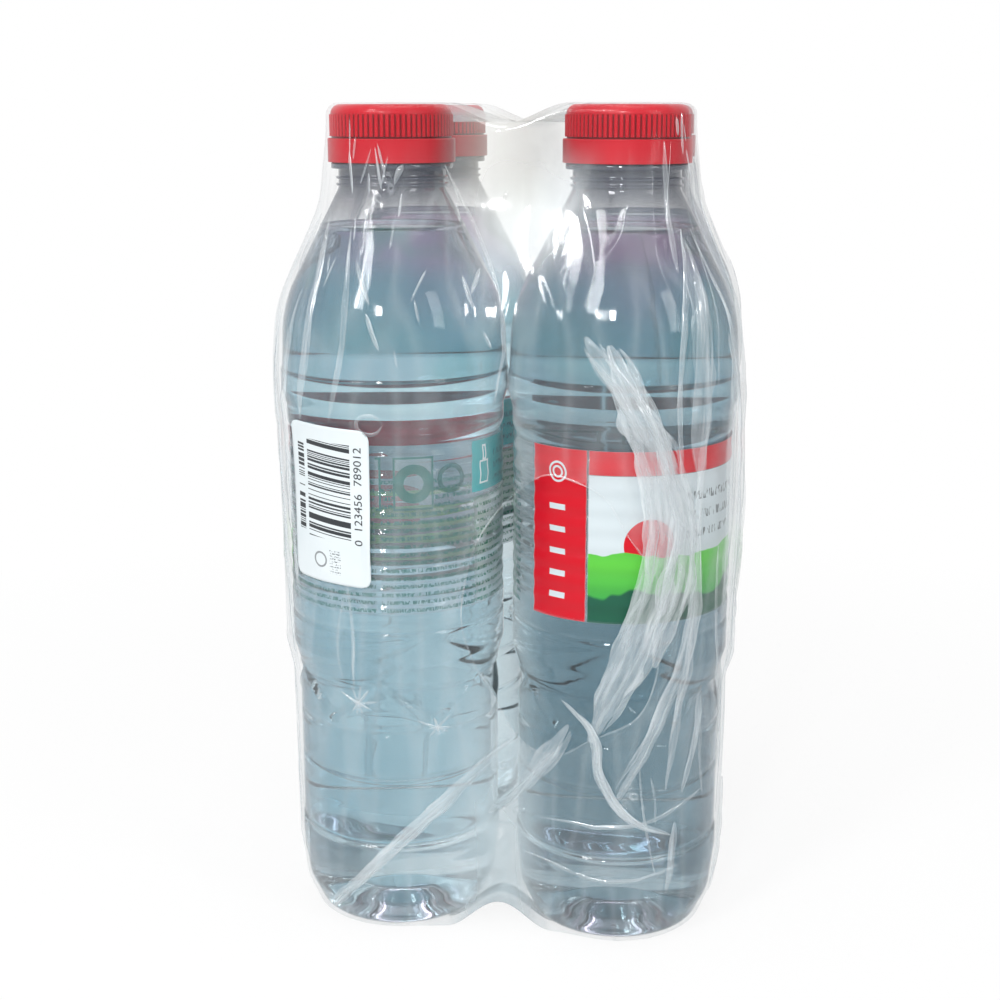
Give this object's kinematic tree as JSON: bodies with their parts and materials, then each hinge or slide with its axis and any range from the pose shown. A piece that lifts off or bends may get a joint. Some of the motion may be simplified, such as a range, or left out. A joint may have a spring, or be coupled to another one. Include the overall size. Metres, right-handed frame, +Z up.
{
  "type": "pack of water bottles",
  "caption": "Shrink-wrapped square pack of clear plastic water bottles with red screw caps, film open in an oval at front and back, and a white price sticker.",
  "frame": {"origin": "middle of the pack's footprint, on the surface it stands on", "axes": "+Z up, the pack's front faces -Y, +X to the right"},
  "size_m": [0.1278, 0.1278, 0.2298],
  "materials": {
    "pet": "clear gloss plastic",
    "water": "clear liquid",
    "label": "printed film",
    "cap": "satin",
    "film": "thin gloss film",
    "sticker": "paper, satin"
  },
  "bodies": {
    "root": {"bottle_front_left": "pet", "bottle_front_right": "pet", "bottle_back_left": "pet", "bottle_back_right": "pet", "water_front_left": "water", "water_front_right": "water", "water_back_left": "water", "water_back_right": "water", "label_front_left": "label", "label_front_right": "label", "label_back_left": "label", "label_back_right": "label", "cap_front_left": "cap", "cap_front_right": "cap", "cap_back_left": "cap", "cap_back_right": "cap", "film": "film", "sticker": "sticker"}
  },
  "joints": []
}
